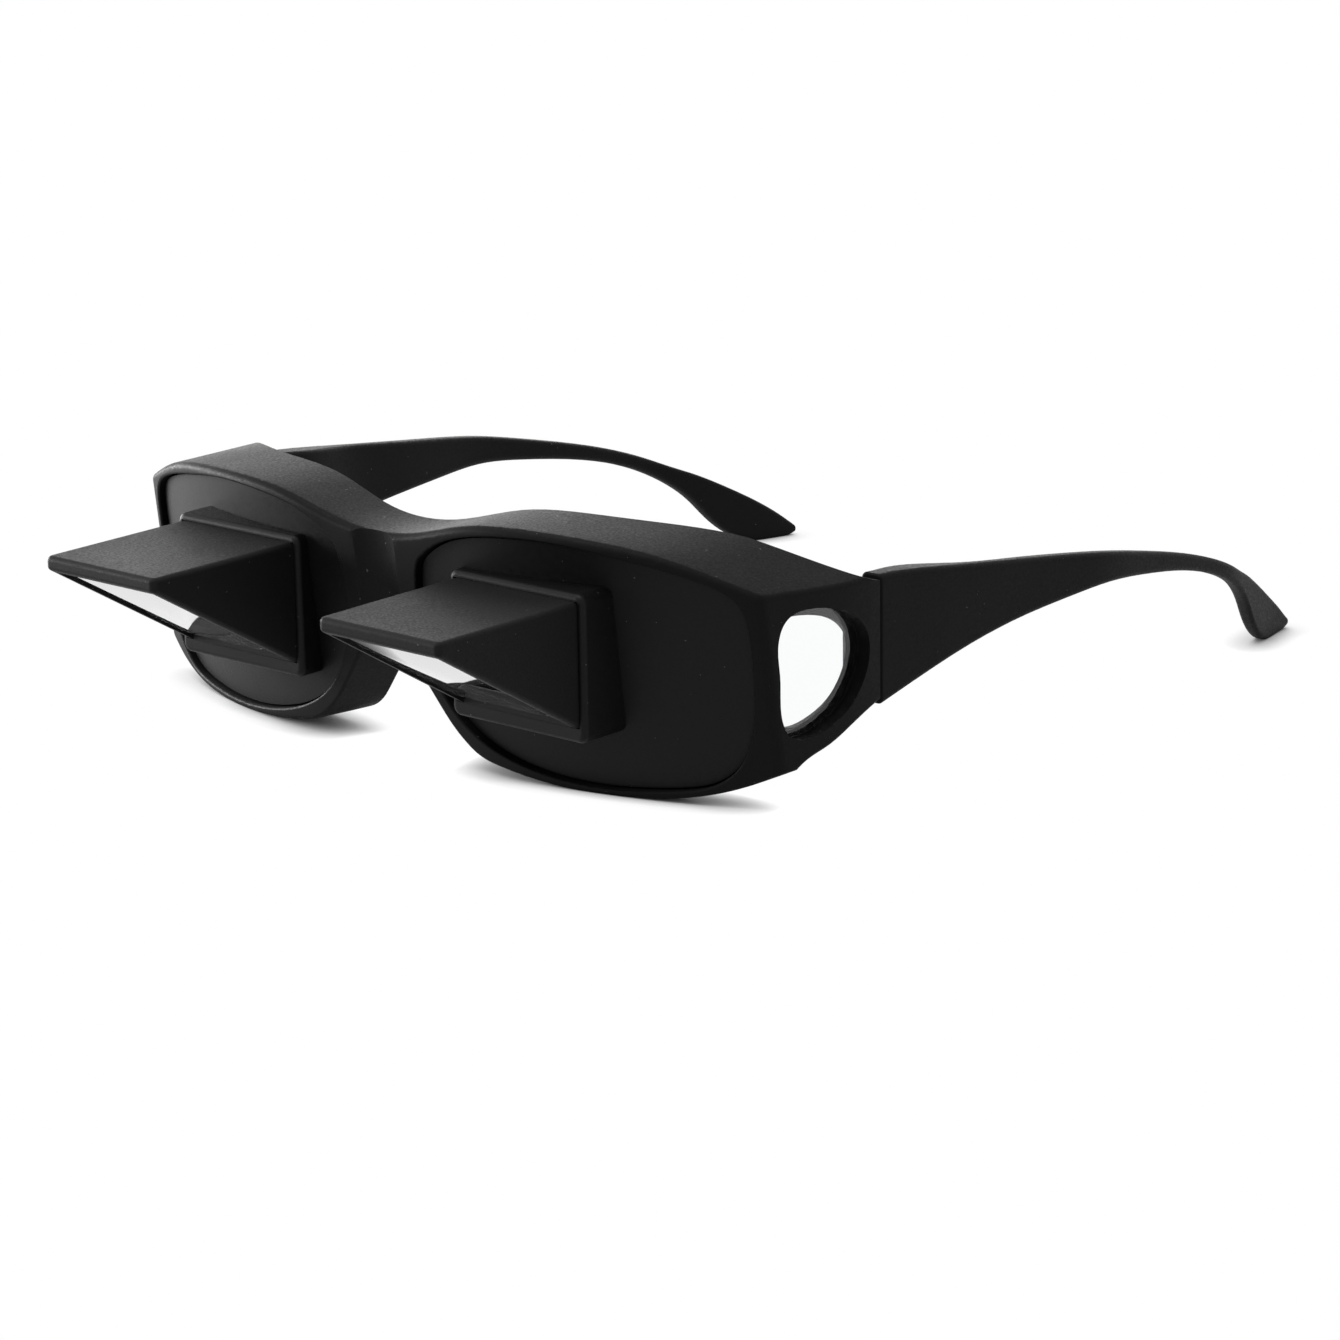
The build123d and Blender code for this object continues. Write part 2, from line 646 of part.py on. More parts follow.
# A side window: a clear plate that lies against the lip of its opening
with BuildPart() as left_side_window:
    extrude(window_outline(half_width - overrun, window_fit), amount=2 * overrun)
    window_inner = side_wall - window_lip_thickness - window_seat
    extrude(arm_band(window_inner - window_thickness, window_inner), amount=4 * rim_drop, mode=Mode.INTERSECT)

# A temple: upright sections along its length, rounded at the corners. Each has its place in shares of the
# length, its top and its bottom in shares of the drop, and how far it turns in as a share of the whole
temple_section_shares = [
    (0, 0, 0.548, 0), (0.04, 0.007, 0.512, 0.025), (0.08, 0.023, 0.477, 0.05), (0.16, 0.061, 0.415, 0.095),
    (0.27, 0.112, 0.362, 0.14), (0.36, 0.154, 0.34, 0.187), (0.44, 0.197, 0.331, 0.218),
    (0.53, 0.262, 0.363, 0.142), (0.62, 0.336, 0.416, 0.035), (0.7, 0.416, 0.489, -0.055),
    (0.76, 0.494, 0.574, -0.15), (0.8, 0.555, 0.657, -0.281), (0.83, 0.599, 0.744, -0.394),
    (0.86, 0.649, 0.857, -0.507), (0.9, 0.723, 0.962, -0.65), (0.94, 0.803, 1.004, -0.78),
    (0.97, 0.87, 1.004, -0.856), (0.99, 0.92, 1.002, -0.902), (1, 0.95, 0.988, -0.924),
]
temple_seat_share = 0.08


def temple_section(station, top, low, turn):
    """One upright section of the left temple, from shares of its sizes."""
    outer = half_width + temple_converge * turn
    if station <= temple_seat_share:
        inner = half_width - temple_root_thickness
    else:
        inner = outer - temple_thickness + (temple_thickness - temple_tip_thickness) * station
    high = temple_drop * (low - top)
    corner = min(temple_round, high * temple_end_share)
    middle_up = temple_root_top - temple_drop * (low + top) / 2
    station_back = temple_root_back + temple_length * station
    with BuildSketch(seen_from_front(station_back, (outer + inner) / 2, middle_up)) as sketch:
        RectangleRounded(outer - inner, high, corner)
    return sketch.sketch


with BuildPart() as left_temple:
    loft([temple_section(*shares) for shares in temple_section_shares])
    root_face = left_temple.faces().sort_by(lambda face: (face.center() - datum).dot(back_axis))[0]
    fillet(root_face.edges(), temple_root_round)
    split(bisect_by=Plane.XY, keep=Keep.TOP)
    with Locations(*temple_rivet_places(half_width - temple_root_thickness)):
        Cylinder(rivet_radius + rivet_fit, 2 * (rivet_depth + hole_end_gap), mode=Mode.SUBTRACT)

# A hinge: a front leaf with two knuckles, a temple leaf with one between them, and a screw through all three
barrel_low = -hinge_middle_drop - 1.5 * knuckle_height


def hinge_plan(knuckle):
    """A plane on the hinge axis, at the bottom of a knuckle counted from below."""
    return seen_from_above(barrel_low + knuckle * knuckle_height, hinge_across, hinge_axis_back)


with BuildPart() as left_hinge_front_leaf:
    with BuildSketch(seen_from_above(-hinge_middle_drop - leaf_half_height, hinge_across, hinge_axis_back)):
        with Locations((arm_face - leaf_thickness, -front_leaf_length)):
            Rectangle(2 * leaf_thickness, front_leaf_length - leaf_clear, align=Align.MIN)
    extrude(amount=2 * leaf_half_height)
    for knuckle in (0, 2):
        with BuildSketch(hinge_plan(knuckle)):
            Circle(knuckle_radius)
            with Locations((arm_face - leaf_thickness, -leaf_clear - leaf_thickness / 2)):
                Rectangle(leaf_thickness, leaf_clear + leaf_thickness / 2 - hinge_gap / 2, align=Align.MIN)
        extrude(amount=knuckle_height)
    with BuildSketch(hinge_plan(0)):
        Circle(hinge_screw_radius + screw_fit)
    extrude(amount=3 * knuckle_height, mode=Mode.SUBTRACT)
    with Locations(*front_rivet_places(half_width - side_wall)):
        Cylinder(rivet_radius + rivet_fit, 4 * leaf_thickness, mode=Mode.SUBTRACT)
    extrude(arm_band(0, side_wall), amount=4 * rim_drop, mode=Mode.SUBTRACT)

with BuildPart() as left_hinge_temple_leaf:
    with BuildSketch(hinge_plan(0)):
        with Locations((temple_face - leaf_thickness, leaf_clear)):
            Rectangle(leaf_thickness, temple_leaf_length - leaf_clear, align=Align.MIN)
    extrude(amount=3 * knuckle_height)
    with BuildSketch(hinge_plan(1 + knuckle_play / knuckle_height)):
        Circle(knuckle_radius)
        with Locations((temple_face - leaf_thickness, hinge_gap / 2)):
            Rectangle(leaf_thickness, leaf_clear + leaf_thickness / 2, align=Align.MIN)
    extrude(amount=knuckle_height - 2 * knuckle_play)
    with BuildSketch(hinge_plan(0)):
        Circle(hinge_screw_radius + hinge_bore_clearance)
    extrude(amount=3 * knuckle_height, mode=Mode.SUBTRACT)
    with Locations(*temple_rivet_places(half_width - temple_root_thickness)):
        Cylinder(rivet_radius + rivet_fit, 4 * leaf_thickness, mode=Mode.SUBTRACT)
    add(left_temple.part, mode=Mode.SUBTRACT)

with BuildPart() as left_hinge_screw:
    with BuildSketch(hinge_plan(0)):
        Circle(hinge_screw_radius)
    extrude(amount=3 * knuckle_height)
    with BuildSketch(hinge_plan(3)):
        Circle(hinge_screw_head_radius)
    extrude(amount=hinge_screw_head_height)
    with BuildSketch(hinge_plan(3 + hinge_screw_head_height / knuckle_height)):
        Rectangle(2 * hinge_screw_head_radius, screw_slot_width)
    extrude(amount=-screw_slot_depth, mode=Mode.SUBTRACT)


def rivets(places):
    """Rivets with their heads against a leaf, at places on the leaf's inner face."""
    with BuildPart() as pair:
        with Locations(*places):
            Cylinder(rivet_radius, leaf_thickness + rivet_depth, align=(Align.CENTER, Align.CENTER, Align.MIN))
            Cylinder(rivet_head_radius, rivet_head_height, align=(Align.CENTER, Align.CENTER, Align.MAX))
    return pair.part


left_front_leaf_rivets = rivets(front_rivet_places(hinge_across + arm_face - leaf_thickness))
left_temple_leaf_rivets = rivets(temple_rivet_places(hinge_across + temple_face - leaf_thickness))

os.makedirs("parts", exist_ok=True)


def write_pair(name, left_piece):
    """Label and write a left piece, and its mirror image for the right."""
    left_piece.label = "left_" + name
    export_step(left_piece, "parts/left_" + name + ".step")
    right_piece = mirror(left_piece, about=Plane.YZ)
    right_piece.label = "right_" + name
    export_step(right_piece, "parts/right_" + name + ".step")


front_frame.part.label = "front_frame"
export_step(front_frame.part, "parts/front_frame.step")
write_pair("eye_panel", left_eye_panel.part)
write_pair("prism_hood", left_prism_hood.part)
write_pair("prism", left_prism.part)
write_pair("prism_mirror", left_prism_mirror.part)
write_pair("prism_bezel", left_prism_bezel.part)
write_pair("bezel_screws", left_bezel_screws.part)
write_pair("side_window", left_side_window.part)
write_pair("temple", left_temple.part)
write_pair("hinge_front_leaf", left_hinge_front_leaf.part)
write_pair("hinge_temple_leaf", left_hinge_temple_leaf.part)
write_pair("hinge_screw", left_hinge_screw.part)
write_pair("front_leaf_rivets", left_front_leaf_rivets)
write_pair("temple_leaf_rivets", left_temple_leaf_rivets)
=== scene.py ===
# %% [markdown]
# Prism bed glasses, dressed for a studio picture. The construction is loaded as a fixed frame:
# every piece is already at its real size and place. This lesson gives the pieces their finishes,
# adds the small things that only show close up, and sets the light and the camera.

# %% Load the frame
import json
import math

import bmesh
import bpy
import numpy as np
from mathutils import Matrix, Vector


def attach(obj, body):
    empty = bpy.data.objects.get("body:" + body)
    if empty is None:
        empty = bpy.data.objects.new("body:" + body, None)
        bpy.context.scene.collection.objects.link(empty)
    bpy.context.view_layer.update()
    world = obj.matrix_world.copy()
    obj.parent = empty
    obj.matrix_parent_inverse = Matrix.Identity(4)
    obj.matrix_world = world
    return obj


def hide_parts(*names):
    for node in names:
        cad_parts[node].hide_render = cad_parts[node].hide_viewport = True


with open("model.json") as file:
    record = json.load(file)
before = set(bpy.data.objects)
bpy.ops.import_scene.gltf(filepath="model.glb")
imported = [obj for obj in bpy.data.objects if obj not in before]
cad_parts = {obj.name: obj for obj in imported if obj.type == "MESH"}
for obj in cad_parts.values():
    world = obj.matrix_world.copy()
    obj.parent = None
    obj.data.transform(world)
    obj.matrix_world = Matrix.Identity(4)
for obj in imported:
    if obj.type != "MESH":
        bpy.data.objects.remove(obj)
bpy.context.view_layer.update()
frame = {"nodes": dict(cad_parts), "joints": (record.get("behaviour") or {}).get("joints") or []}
scene = bpy.context.scene

# %% [markdown]
# A few values are shared by several cells. The lean of the glasses could be typed in, but it is
# read from the hinges' axis in the frame, so that the looks follow the construction.

# %% Shared values
MM = 0.001
SIDES = ("left", "right")
body_of_side = {"left": "left_temple", "right": "right_temple"}
hinge_axis = frame["joints"][0]["axis"]
pitch = math.atan2(-hinge_axis[1], hinge_axis[2])
print("the glasses lean back on the floor by", round(math.degrees(pitch), 2), "degrees")

# %% [markdown]
# Finishes, small parts and the studio are all written as node trees. They could be wired socket by
# socket, but plain arithmetic is easier to read than a row of Math nodes. So one small class wraps
# a socket and turns an expression such as 1 - mask into those nodes, and another one adds any
# other node from its kind, its settings and what goes into its sockets.

# %% Values in a node tree
class Wire:
    """A value that flows through a node tree, with arithmetic."""

    def __init__(self, plan, socket):
        self.plan = plan
        self.socket = socket

    def math(self, operation, first, second):
        return self.plan.node("ShaderNodeMath", {"operation": operation}, {0: first, 1: second})

    def __add__(self, other):
        return self.math("ADD", self, other)

    def __radd__(self, other):
        return self.math("ADD", other, self)

    def __sub__(self, other):
        return self.math("SUBTRACT", self, other)

    def __rsub__(self, other):
        return self.math("SUBTRACT", other, self)

    def __mul__(self, other):
        return self.math("MULTIPLY", self, other)

    def __rmul__(self, other):
        return self.math("MULTIPLY", other, self)

    def above(self, level):
        return self.math("GREATER_THAN", self, level)


# %% Nodes, one by one
class Plan:
    """A node tree that is built one node at a time."""

    def __init__(self, tree):
        self.tree = tree

    def feed(self, socket, value):
        if isinstance(value, Wire):
            self.tree.links.new(value.socket, socket)
        else:
            socket.default_value = value

    def node(self, kind, settings, sockets, output=0):
        made = self.tree.nodes.new(kind)
        for name, value in settings.items():
            setattr(made, name, value)
        for name, value in sockets.items():
            self.feed(made.inputs[name], value)
        return Wire(self, made.outputs[output])


# %% [markdown]
# A finish is a material. Its patterns come from noise on Object coordinates, which stay with the
# piece when it moves, so that nothing slides when a temple folds. The noise is counted in patches
# to the metre, because a size that can be measured on a real pair is easier to choose well.

# %% A finish
class Finish(Plan):
    """A material whose Principled shader is fed by nodes."""

    def __init__(self, name):
        self.material = bpy.data.materials.new(name)
        self.material.use_nodes = True
        super().__init__(self.material.node_tree)
        self.shader = self.tree.nodes["Principled BSDF"]

    def set(self, **sockets):
        for name, value in sockets.items():
            self.feed(self.shader.inputs[name.replace("_", " ")], value)

    def noise(self, patches, detail=2.0):
        place = self.node("ShaderNodeTexCoord", {}, {}, "Object")
        inputs = {"Vector": place, "Scale": patches, "Detail": detail}
        return self.node("ShaderNodeTexNoise", {}, inputs, "Fac")

    def blend(self, amount, first, second):
        inputs = {0: amount, 6: first, 7: second}
        return self.node("ShaderNodeMix", {"data_type": "RGBA"}, inputs, 2)

    def bump(self, height, strength, distance):
        inputs = {"Height": height, "Strength": strength, "Distance": distance}
        return self.node("ShaderNodeBump", {}, inputs, "Normal")

    def rough(self, pattern, smoothest, roughest):
        self.set(Roughness=smoothest + pattern * (roughest - smoothest))


# %% [markdown]
# The frame, the panels and the hoods are moulded in black plastic. Up close, such plastic has a
# fine grain from the spark-eroded tool, slow changes in gloss where the tool was polished
# unevenly, and a few pale specks of dust. An image could carry all that, but noise has no seams
# and no end of detail. Most of the grain goes to Roughness, where it shows as glitter in the sheen,
# and a little goes to a Bump node. The specks go to the colour.

# %% Moulded black plastic
gloss_patches, grain_patches, dust_patches = 55.0, 2600.0, 1100.0
gloss_swing, grain_swing = 0.12, 0.5
dust_level, dust_cover, dust_shade = 0.79, 0.5, 0.12
worn_gain = 1.35
grain_depth = 0.04 * MM


def grey(shade):
    return (shade, shade, shade, 1)


def moulded_plastic(name, shade, roughness, grain, specular):
    finish = Finish(name)
    slow = finish.noise(gloss_patches)
    fine = finish.noise(grain_patches, detail=3.0)
    dust = finish.noise(dust_patches, detail=1.0).above(dust_level)
    plain = finish.blend(slow, grey(shade), grey(shade * worn_gain))
    finish.set(Base_Color=finish.blend(dust * dust_cover, plain, grey(dust_shade)))
    finish.set(Roughness=roughness + (slow - 0.5) * gloss_swing + (fine - 0.5) * grain_swing)
    finish.set(Specular_IOR_Level=specular)
    finish.set(Normal=finish.bump(fine, grain, grain_depth))
    return finish.material


frame_black = moulded_plastic("satin black moulding", 0.005, 0.55, grain=0.35, specular=0.075)
panel_black = moulded_plastic("black eye panel", 0.003, 0.48, grain=0.3, specular=0.14)
hood_black = moulded_plastic("matte black hood", 0.006, 0.58, grain=0.5, specular=0.13)
print("plastics:", frame_black.name, "/", panel_black.name, "/", hood_black.name)

# %% [markdown]
# The prisms and the side windows are clear acrylic. It could be a Glass shader, but the Principled
# one keeps the same sockets for every finish. Polished acrylic bends light a little less than
# glass, and it is never perfect: a faint waviness from moulding shows in its reflections. The
# prisms also have a hard coat, which makes their slopes shine white at a low angle.

# %% Clear acrylic
acrylic_ior, coat_ior = 1.49, 1.6
ripple_patches, ripple_depth = 120.0, 0.05 * MM


def clear_acrylic(name, tint, waviness, coat):
    finish = Finish(name)
    slow = finish.noise(ripple_patches)
    finish.set(Base_Color=tint, Transmission_Weight=1.0, IOR=acrylic_ior)
    finish.set(Coat_Weight=coat, Coat_IOR=coat_ior)
    finish.rough(slow, smoothest=0.01, roughest=0.03)
    finish.set(Normal=finish.bump(slow, waviness, ripple_depth))
    return finish.material


prism_clear = clear_acrylic("clear prism", (0.97, 0.98, 0.98, 1), waviness=0.05, coat=1.0)
window_clear = clear_acrylic("clear side window", (0.96, 0.97, 0.97, 1), waviness=0.1, coat=0.0)
print("acrylics:", prism_clear.name, "/", window_clear.name, "with an IOR of", acrylic_ior)

# %% [markdown]
# Behind each hood's top lies the silvered face of the prism, and the hinges and screws are bare
# steel. Both are metals, so the colour is that of the reflection. Silver is smooth. The steel has
# faint turning marks, made with one noise that changes its colour and its gloss together.

# %% Silver and steel
silver_patches, turning_patches = 90.0, 1800.0
silver_white = (0.9, 0.91, 0.92, 1)
steel_dark, steel_pale = (0.42, 0.42, 0.43, 1), (0.62, 0.62, 0.63, 1)


def silver_film():
    finish = Finish("silvered mirror")
    finish.set(Base_Color=silver_white, Metallic=1.0)
    finish.rough(finish.noise(silver_patches), smoothest=0.04, roughest=0.07)
    return finish.material


def bare_steel():
    finish = Finish("bare steel")
    marks = finish.noise(turning_patches, detail=1.0)
    finish.set(Base_Color=finish.blend(marks, steel_dark, steel_pale), Metallic=1.0)
    finish.rough(marks, smoothest=0.26, roughest=0.42)
    return finish.material


silver = silver_film()
steel = bare_steel()
print("metals:", silver.name, "/", steel.name)

# %% [markdown]
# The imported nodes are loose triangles. Joined and smoothed, a curved moulding still shows bands,
# because the triangles are long and each leans a little away from the true surface. Rebuilding the
# surfaces by hand would lose their exact shape. So a copy is cut finer, and the direction of each
# face is eased towards those beside it that nearly agree, which leaves the edges crisp.

# %% Directions of the faces, eased
CORNERS = 3     # of each face: all of them are triangles


def unit(rows):
    return rows / np.maximum(np.linalg.norm(rows, axis=1, keepdims=True), 1e-12)


def read(items, name, width, kind=np.float64):
    values = np.empty(len(items) * width, kind)
    items.foreach_get(name, values)
    return values.reshape(-1, width) if width > 1 else values


def eased_directions(mesh, rounds=14, soft_degrees=4.0):
    """The direction of each face, drawn towards those of the faces across its edges."""
    direction = unit(read(mesh.polygons, "normal", 3))
    area = read(mesh.polygons, "area", 1)
    edge_of_corner = read(mesh.loops, "edge_index", 1, np.int32)
    order = np.argsort(edge_of_corner, kind="stable")
    paired = np.nonzero(edge_of_corner[order][1:] == edge_of_corner[order][:-1])[0]
    first, second = order[paired] // CORNERS, order[paired + 1] // CORNERS
    for _ in range(rounds):
        agree = np.clip(np.sum(direction[first] * direction[second], axis=1), -1, 1)
        pull = np.exp(-(np.degrees(np.arccos(agree)) / soft_degrees) ** 2)
        total = direction * area[:, None]
        np.add.at(total, first, direction[second] * (pull * area[second])[:, None])
        np.add.at(total, second, direction[first] * (pull * area[first])[:, None])
        direction = unit(total)
    return direction, area


# %% [markdown]
# Blender shades a corner by its own direction, which a script may set. Each corner gets the mean
# direction of the faces round it, but only of those that lie within an angle of its own face. A
# rounding is then smooth and a true edge stays sharp.

# %% Shading that follows the eased directions
def shade_by_directions(mesh, sharp_degrees):
    """Gives each corner the mean direction of the faces round it that nearly agree with its own."""
    direction, area = eased_directions(mesh)
    vertex = read(mesh.loops, "vertex_index", 1, np.int32)
    order = np.argsort(vertex, kind="stable")
    counts = np.bincount(vertex, minlength=len(mesh.vertices))
    starts = np.cumsum(counts) - counts
    span = counts[vertex[order]]
    own = np.repeat(order, span)
    step = np.arange(len(own)) - np.repeat(np.cumsum(span) - span, span)
    other = order[np.repeat(starts[vertex[order]], span) + step]
    cosine = np.sum(direction[own // CORNERS] * direction[other // CORNERS], axis=1)
    weight = area[other // CORNERS] * (cosine > math.cos(math.radians(sharp_degrees)))
    corner = np.zeros((len(mesh.loops), 3))
    np.add.at(corner, own, direction[other // CORNERS] * weight[:, None])
    mesh.shade_smooth()
    mesh.normals_split_custom_set(unit(corner).tolist())


# %% [markdown]
# Each moulding, lens and temple is such a copy. It stands for its node, so the node itself is
# hidden, and it rides with the same body. Flat pieces such as the prisms need no finer cut.

# %% Smooth copies of the mouldings
weld_gap = 0.002 * MM
cutting_rounds = 7


def smooth_copy(node, material, longest, sharp_degrees=32):
    """A joined, finely cut and smoothly shaded copy of a node, in its place."""
    mesh = frame["nodes"][node].data.copy()
    mesh.name = node
    joined = bmesh.new()
    joined.from_mesh(mesh)
    bmesh.ops.remove_doubles(joined, verts=joined.verts, dist=weld_gap)
    for _ in range(cutting_rounds):
        long_edges = [edge for edge in joined.edges if longest and edge.calc_length() > longest]
        if not long_edges:
            break
        bmesh.ops.subdivide_edges(joined, edges=long_edges, cuts=1)
        cut_faces = [face for face in joined.faces if len(face.verts) > CORNERS]
        bmesh.ops.triangulate(joined, faces=cut_faces)
    joined.to_mesh(mesh)
    joined.free()
    mesh.materials.clear()
    mesh.materials.append(material)
    shade_by_directions(mesh, sharp_degrees)
    piece = bpy.data.objects.new(node + "_skin", mesh)
    scene.collection.objects.link(piece)
    return piece


def dress(node, body, material, longest=2 * MM):
    """Makes a node's smooth copy, lets it ride with its body and stand for the node."""
    piece = smooth_copy(node, material, longest)
    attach(piece, body)
    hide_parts(node)
    return piece


# %% [markdown]
# A clear plate's narrow edges shine with all the light that is caught inside it. On the real pair
# the side arm's lip covers the edges of each side window. Blackening those faces, with a second
# material on the same piece, does what the lip does and needs no piece of its own.

# %% Dress the mouldings
edge_lean = 0.7     # a face whose direction is less than this to the side is an edge of the plate


def blacken_edges(plate, material):
    """Gives the faces round an upright plate, which stands fore and aft, their own material."""
    plate.data.materials.append(material)
    for face in plate.data.polygons:
        if abs(face.normal.x) < edge_lean:
            face.material_index = 1


front_skin = dress("front_frame", "front", frame_black)
for side in SIDES:
    dress(side + "_eye_panel", "front", panel_black)
    dress(side + "_prism_hood", "front", hood_black)
    dress(side + "_prism_bezel", "front", hood_black, longest=0)
    dress(side + "_prism", "front", prism_clear, longest=0)
    window = dress(side + "_side_window", "front", window_clear)
    blacken_edges(window, frame_black)
    dress(side + "_temple", body_of_side[side], frame_black)
print("the front has", len(front_skin.data.polygons), "faces")

# %% [markdown]
# The hinge leaves, the hinge screws and the mirrors are small and mostly hidden. Copies would show
# nothing more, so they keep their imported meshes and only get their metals.

# %% Metals on the small parts
metal_of_node = {"prism_mirror": silver, "hinge_front_leaf": steel, "hinge_temple_leaf": steel,
                 "hinge_screw": steel}
for side in SIDES:
    for name, metal in metal_of_node.items():
        mesh = frame["nodes"][side + "_" + name].data
        mesh.materials.clear()
        mesh.materials.append(metal)
        print(side, name, "is", metal.name)

# %% [markdown]
# Four screws hold each bezel, and two rivets hold each hinge leaf. They could be modelled one by
# one, but they repeat, so one Geometry Nodes tree makes them all. It puts a shank and a domed head
# on every point of a small cloud of points, turned along the direction that the tree is given. A
# screw's head also gets a slot, cut by a bar; a rivet's bar has no width and cuts nothing. The tree
# ends in real geometry, because instances would be lost in the export.

# %% A tree for repeated parts
class MeshPlan(Plan):
    """A Geometry Nodes tree with named inputs."""

    def __init__(self, name, inputs):
        group = bpy.data.node_groups.new(name, "GeometryNodeTree")
        super().__init__(group)
        group.interface.new_socket("Geometry", in_out="INPUT", socket_type="NodeSocketGeometry")
        group.interface.new_socket("Geometry", in_out="OUTPUT", socket_type="NodeSocketGeometry")
        for label, kind in inputs.items():
            group.interface.new_socket(label, in_out="INPUT", socket_type=kind)
        start = group.nodes.new("NodeGroupInput").outputs
        self.given = {label: Wire(self, start[label]) for label in ("Geometry", *inputs)}

    def join(self, *parts):
        made = self.tree.nodes.new("GeometryNodeJoinGeometry")
        for part in parts:
            self.feed(made.inputs[0], part)
        return Wire(self, made.outputs[0])

    def end(self, geometry):
        self.feed(self.tree.nodes.new("NodeGroupOutput").inputs[0], geometry)
        return self.tree


# %% The fastener tree
fastener_inputs = {"Head Radius": "NodeSocketFloat", "Head Height": "NodeSocketFloat",
                   "Shank Radius": "NodeSocketFloat", "Shank Length": "NodeSocketFloat",
                   "Slot Width": "NodeSocketFloat", "Tilt": "NodeSocketRotation",
                   "Finish": "NodeSocketMaterial"}
shank_sides, dome_segments, dome_rings = 20, 28, 14
bar_reach = 3.0     # of the bar that cuts the slot, in head radii


def fastener_tree():
    plan = MeshPlan("fasteners", fastener_inputs)
    given = plan.given
    sizes = {"Vertices": shank_sides, "Radius": given["Shank Radius"], "Depth": given["Shank Length"]}
    shank = plan.node("GeometryNodeMeshCylinder", {}, sizes, "Mesh")
    below = plan.node("ShaderNodeCombineXYZ", {}, {"Z": given["Shank Length"] * -0.5})
    shank = plan.node("GeometryNodeTransform", {}, {"Geometry": shank, "Translation": below})

    sizes = {"Segments": dome_segments, "Rings": dome_rings, "Radius": 1.0}
    ball = plan.node("GeometryNodeMeshUVSphere", {}, sizes, "Mesh")
    sizes = {"X": given["Head Radius"], "Y": given["Head Radius"], "Z": given["Head Height"]}
    flat = plan.node("ShaderNodeCombineXYZ", {}, sizes)
    dome = plan.node("GeometryNodeTransform", {}, {"Geometry": ball, "Scale": flat})

    sizes = {"X": given["Head Radius"] * bar_reach, "Y": given["Slot Width"], "Z": given["Head Height"]}
    bar_size = plan.node("ShaderNodeCombineXYZ", {}, sizes)
    bar = plan.node("GeometryNodeMeshCube", {}, {"Size": bar_size}, "Mesh")
    lift = plan.node("ShaderNodeCombineXYZ", {}, {"Z": given["Head Height"]})
    bar = plan.node("GeometryNodeTransform", {}, {"Geometry": bar, "Translation": lift})
    cut = {"operation": "DIFFERENCE", "solver": "EXACT"}
    head = plan.node("GeometryNodeMeshBoolean", cut, {"Mesh 1": dome, "Mesh 2": bar})

    one = plan.join(head, shank)
    places = {"Points": given["Geometry"], "Instance": one, "Rotation": given["Tilt"]}
    placed = plan.node("GeometryNodeInstanceOnPoints", {}, places)
    real = plan.node("GeometryNodeRealizeInstances", {}, {"Geometry": placed})
    finished = {"Geometry": real, "Material": given["Finish"]}
    return plan.end(plan.node("GeometryNodeSetMaterial", {}, finished))


fasteners = fastener_tree()
print("the fastener tree has", len(fasteners.nodes), "nodes")

# %% [markdown]
# Where the fasteners sit could be typed in, but then they would stay behind if the construction
# changed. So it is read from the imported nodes: each shank with its head is one island of joined
# triangles. The point lies where the head meets the surface, along the fastener's direction.

# %% Places of the fasteners
def islands(joined):
    """The vertices of each group of joined triangles."""
    waiting = set(joined.verts)
    while waiting:
        island, to_visit = set(), [waiting.pop()]
        while to_visit:
            vertex = to_visit.pop()
            island.add(vertex)
            for edge in vertex.link_edges:
                near = edge.other_vert(vertex)
                if near in waiting:
                    waiting.discard(near)
                    to_visit.append(near)
        yield island


def head_places(node, direction, head_height):
    """The point under the head of each island of a node, with heads towards a direction."""
    joined = bmesh.new()
    joined.from_mesh(frame["nodes"][node].data)
    bmesh.ops.remove_doubles(joined, verts=joined.verts, dist=weld_gap)
    places = []
    for island in islands(joined):
        top = max(vertex.co.dot(direction) for vertex in island)
        low = Vector([min(vertex.co[axis] for vertex in island) for axis in range(3)])
        high = Vector([max(vertex.co[axis] for vertex in island) for axis in range(3)])
        centre = (low + high) / 2
        places.append(centre + direction * (top - head_height - centre.dot(direction)))
    joined.free()
    return places


# %% [markdown]
# The tree runs as a modifier on a cloud of those points. Its result is then turned into one plain
# mesh for each node, which stands for the node, and the cloud is thrown away.

# %% Fasteners as plain meshes
fold_degrees = 35   # edges that are sharper than this are shaded as edges


def made_by_tree(node, places, values):
    """The plain mesh that the fastener tree makes on some places, with values for its inputs."""
    cloud = bpy.data.meshes.new(node + "_places")
    cloud.from_pydata([tuple(place) for place in places], [], [])
    maker = bpy.data.objects.new(node + "_maker", cloud)
    scene.collection.objects.link(maker)
    modifier = maker.modifiers.new("fasteners", "NODES")
    modifier.node_group = fasteners
    for socket in fasteners.interface.items_tree:
        if socket.in_out == "INPUT" and socket.name in values:
            modifier[socket.identifier] = values[socket.name]
    bpy.context.view_layer.update()
    evaluated = maker.evaluated_get(bpy.context.evaluated_depsgraph_get())
    mesh = bpy.data.meshes.new_from_object(evaluated)
    bpy.data.objects.remove(maker)
    return mesh


def make_fasteners(node, body, direction, sizes):
    """Fasteners that stand for a node's plain ones, with their heads towards a direction."""
    places = head_places(node, direction, sizes["Head Height"])
    tilt = direction.to_track_quat("Z", "X").to_euler()
    mesh = made_by_tree(node, places, {**sizes, "Finish": steel, "Tilt": tilt})
    mesh.name = node
    mesh.shade_smooth()
    mesh.set_sharp_from_angle(angle=math.radians(fold_degrees))
    piece = bpy.data.objects.new(node + "_made", mesh)
    scene.collection.objects.link(piece)
    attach(piece, body)
    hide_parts(node)
    print(node, "has", len(places), "pieces,", len(mesh.polygons), "faces")


